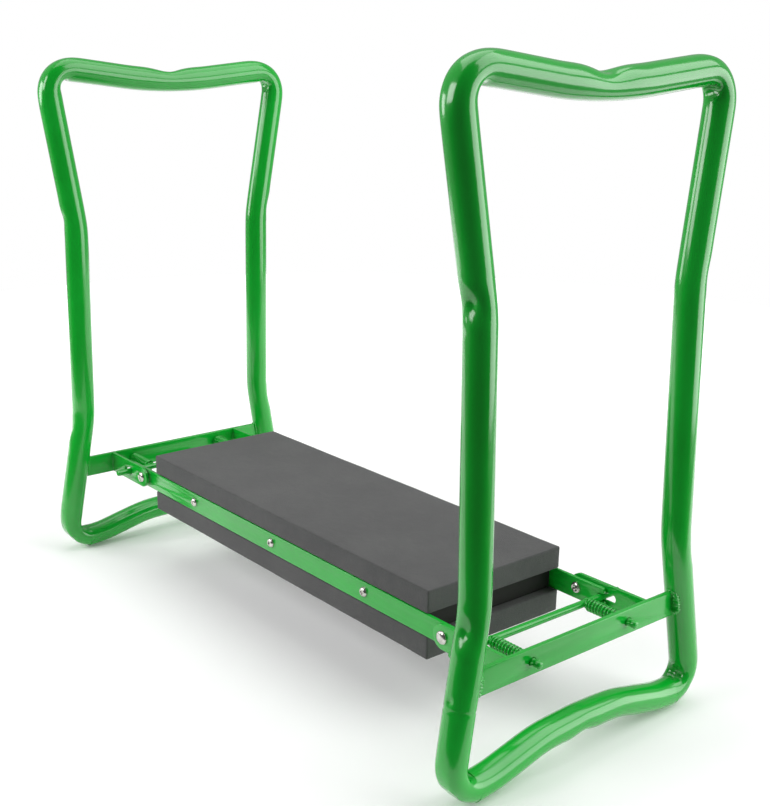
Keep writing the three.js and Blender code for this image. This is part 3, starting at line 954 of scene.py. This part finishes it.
def pan_screw(x, side):
    """A pan head on the rail's outer face, with a cross recess, and its shank in the board."""
    height = screw_high.y - RAIL_FACE
    reach, half_width, depth = RECESS
    angles = np.linspace(0, 2 * math.pi, 72, endpoint=False)
    rings = []
    for share in np.linspace(0.01, 1, 26):
        r = share * SCREW_R * 0.985
        top = RAIL_FACE + height * (1 - 0.62 * share ** 4.5)
        u, v = r * np.cos(angles), r * np.sin(angles)
        slots = [
            np.clip((half_width - np.abs(a)) / (0.3 * MM) + 0.5, 0, 1)
            * np.clip((reach - np.abs(b)) / (0.4 * MM), 0, 1)
            for a, b in ((u, v), (v, u))
        ]
        y = top - depth * np.maximum(*slots)
        rings.append(np.stack([u, y, v], axis=1))
    rims = [(SCREW_R, RAIL_FACE + 0.3 * height), (SCREW_R, RAIL_FACE), (SCREW_SHANK_R, RAIL_FACE)]
    rims += [(SCREW_SHANK_R, screw_low.y + 2 * MM), (0.3 * MM, screw_low.y)]
    for r, y in rims:
        rings.append(np.stack([r * np.cos(angles), np.full(len(angles), y), r * np.sin(angles)], axis=1))
    points = np.concatenate(rings)
    tilt = 0.35 + 9 * x
    c, s = math.cos(tilt), math.sin(tilt)
    u, v = points[:, 0].copy(), points[:, 2].copy()
    points[:, 0], points[:, 2] = c * u - s * v, s * u + c * v
    return points * (1, side, 1) + (x, 0, AXIS_Z), ring_faces(len(rings), len(angles))


for side, edge in ((-1, "front"), (1, "back")):
    for place in ("left", "middle", "right"):
        node = f"{edge}_rail_screw_{place}"
        low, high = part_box(node)
        shape = pan_screw((low.x + high.x) / 2, side)
        make_piece(f"{edge}_pan_screw_{place}", *shape, NICKEL, BODY_OF[node], [node], 1, 45)
print("screws: 6 pan heads")

# %% [markdown]
# ## Deck
# The deck is a board between two pads of closed-cell foam. Foam cut from a sheet has crisp edges that are
# rounded by only a millimetre or two, and faces that wander slightly. A slab is therefore a fine lattice of
# corners on a box: clamping each corner to a smaller box and stepping back out by the edge radius rounds all
# twelve edges at once, and a slow noise moves the faces by a fraction of a millimetre.

# %% Slabs


def slab(low, high, edge, spacing, wander, seed):
    """A box with rounded edges on a fine lattice, its faces uneven by wander."""
    centre = np.array(low + high) / 2
    half = np.array(high - low) / 2
    lines = []
    for reach in half:
        steps = max(2, int(2 * (reach - edge) / spacing))
        inner = np.linspace(edge - reach, reach - edge, steps + 1)
        outer = reach - edge + edge * np.array((0.27, 0.58, 1.0))
        lines.append(np.concatenate([-outer[::-1], inner, outer]))
    counts = [len(values) for values in lines]
    index, points, faces = {}, [], []

    def corner(key):
        if key not in index:
            index[key] = len(points)
            raw = np.array([lines[axis][key[axis]] for axis in range(3)])
            core = np.clip(raw, edge - half, half - edge)
            out = raw - core
            out /= np.linalg.norm(out)
            drift = noise.noise(Vector((raw + seed) * 28)) + 0.4 * noise.noise(Vector((raw - seed) * 90))
            inset = 0.6 * (drift - 0.9) * wander
            points.append(centre + core + out * (edge + inset))
        return index[key]

    for axis in range(3):
        first, second = (axis + 1) % 3, (axis + 2) % 3
        for level in (0, counts[axis] - 1):
            for i in range(counts[first] - 1):
                for j in range(counts[second] - 1):
                    quad = []
                    for di, dj in ((0, 0), (1, 0), (1, 1), (0, 1)):
                        key = [0, 0, 0]
                        key[axis], key[first], key[second] = level, i + di, j + dj
                        quad.append(corner(tuple(key)))
                    faces.append(quad if level else quad[::-1])
    return np.array(points), faces


for node, name, seed in (("top_pad", "top_foam_pad", 0.37), ("lower_pad", "lower_foam_pad", 1.91)):
    shape = slab(*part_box(node), 1.5 * MM, 5 * MM, 0.35 * MM, seed)
    pad = make_piece(name, *shape, FOAM, "seat", [node], 1, 70)
make_piece(
    "core_board", *slab(*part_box("seat_board"), 0.7 * MM, 9 * MM, 0.05 * MM, 3.3), BOARD, "seat",
    ["seat_board"], 1, 60)
print("deck: board between two foam pads")

# %% [markdown]
# The sleeves inside the tube joints are hidden and already right in the CAD model, so they keep their mesh
# and only take the drawn steel finish.

# %% Sleeves
for end in ("left", "right"):
    sleeve = frame["nodes"][f"{end}_joint_sleeve"]
    sleeve.data.materials.clear()
    sleeve.data.materials.append(STEEL)
print("sleeves keep their CAD mesh")

# %% [markdown]
# ## Studio
# The object stands on pale paper. A disc that glows more towards its rim runs into the white background
# without an edge, while its middle stays dull enough to hold the soft shadow.

# %% Floor


def make_floor_finish():
    paper = Finish("pale_paper", metallic=0.0, specular_ior_level=0.1, emission_strength=1.0)
    fibre = paper.noise(40.0, 3.0)
    colour = paper.mix(fibre, (0.90, 0.90, 0.90, 1), (0.93, 0.93, 0.93, 1))
    out_from_middle = paper.node("VectorMath", {"operation": "LENGTH"}, {0: paper.place}, "Value")
    glow = paper.mix(out_from_middle.between(0.35, 1.2), (0.10, 0.10, 0.10, 1), (0.85, 0.85, 0.85, 1))
    return paper.feed(base_color=colour, roughness=fibre * 0.1 + 0.85, emission_color=glow)


TOWARDS_VIEWER = (0.784, -0.621, 0.0)
FLOOR_R = 1.2
FLOOR_MIDDLE = [(0.42 - FLOOR_R) * value for value in TOWARDS_VIEWER[:2]]
floor_mesh = bpy.data.meshes.new("studio_floor")
rim = circle(*FLOOR_MIDDLE, FLOOR_R, steps=96)
floor_mesh.from_pydata([(x, y, -0.0004) for x, y in rim], [], [list(range(len(rim)))])
floor_mesh.materials.append(make_floor_finish().material)
floor = bpy.data.objects.new("studio_floor", floor_mesh)
bpy.context.scene.collection.objects.link(floor)
print(f"floor: a pale disc, {2 * FLOOR_R:.1f} m across")

# %% [markdown]
# The sky is bright behind the object and dim on the viewer's side: a glossy green tube then shows a deep
# colour down its middle between two pale streaks, which is how a round tube reads as round. Rays that come
# straight from the camera see plain white instead.

# %% Sky
sky = bpy.data.worlds.new("studio_sky")
sky.use_nodes = True
sky.node_tree.nodes.clear()
bpy.context.scene.world = sky
graph = Graph(sky.node_tree)
direction = graph.node("TexCoord", output="Generated")
facing = graph.node("VectorMath", {"operation": "DOT_PRODUCT"}, {0: direction, 1: TOWARDS_VIEWER}, "Value")
brightness = graph.node(
    "MapRange", {"interpolation_type": "SMOOTHSTEP"}, {0: facing, 1: -0.05, 2: 0.45, 3: 0.45, 4: 0.10})
light_sky = graph.node("Background", None, {"Strength": brightness})
seen_sky = graph.node("Background", None, {"Color": (1, 1, 1, 1), "Strength": 1.0})
seen = graph.node("LightPath", None, None, "Is Camera Ray")
either_sky = graph.node("MixShader", None, {0: seen, 1: light_sky, 2: seen_sky})
graph.node("OutputWorld", None, {"Surface": either_sky})
print("sky:", len(sky.node_tree.nodes), "nodes, bright behind the object")

# %% [markdown]
# Five soft boxes give the streaks their edges: one in front and one above for the form, two high and low at
# the back right for the pale lines down the near loop, and a small one that lifts the far loop.

# %% Soft boxes


def soft_box(name, place, aim, width, height, power):
    light = bpy.data.lights.new(name, "AREA")
    light.shape = "RECTANGLE"
    light.size = width
    light.size_y = height
    light.energy = power
    lamp = bpy.data.objects.new(name, light)
    lamp.location = place
    lamp.visible_camera = False
    lamp.rotation_euler = (Vector(aim) - Vector(place)).to_track_quat("-Z", "Y").to_euler()
    bpy.context.scene.collection.objects.link(lamp)
    return lamp


soft_box("key_box", (-0.4, -1.35, 1.0), (-0.1, 0, 0.2), 0.8, 0.8, 12)
soft_box("top_box", (-0.2, 0.2, 2.0), (0, 0, 0.1), 1.6, 1.6, 13)
soft_box("high_box", (1.0, 0.8, 1.5), (0, 0, 0.1), 1.3, 1.3, 15)
soft_box("far_box", (-0.95, -0.8, 0.55), (-0.3, 0, 0.25), 0.5, 0.5, 4)
soft_box("low_box", (1.3, 1.1, 0.34), (0, 0, 0.2), 1.4, 0.95, 15)

# %% [markdown]
# The camera stands to the right and in front, a little above the pads, about a metre off, so the near loop
# towers over the far one. A few tenths of a degree of roll and a small shift finish the framing.

# %% Camera
CAMERA_PLACE = (0.7871, -0.6052, 0.4721)
HEADING = math.radians(51.605)
DIP = math.radians(15.765)
ROLL = math.radians(0.39)
forward = Vector((
    -math.sin(HEADING) * math.cos(DIP), math.cos(HEADING) * math.cos(DIP), -math.sin(DIP)))
right = forward.cross(Vector((0, 0, 1))).normalized()
up = right.cross(forward)
rolled_right = math.cos(ROLL) * right + math.sin(ROLL) * up
rolled_up = math.cos(ROLL) * up - math.sin(ROLL) * right
lens = bpy.data.cameras.new("camera")
lens.sensor_width = 36
lens.lens = 52.53
lens.shift_x = 0.0393
lens.shift_y = 0.01175
lens.dof.use_dof = False
camera = bpy.data.objects.new("camera", lens)
turned_frame = Matrix((rolled_right, rolled_up, -forward)).transposed().to_4x4()
camera.matrix_world = Matrix.Translation(CAMERA_PLACE) @ turned_frame
bpy.context.scene.collection.objects.link(camera)
bpy.context.scene.camera = camera
bpy.context.scene.view_settings.view_transform = "Standard"
print("camera at", tuple(round(v, 3) for v in camera.location))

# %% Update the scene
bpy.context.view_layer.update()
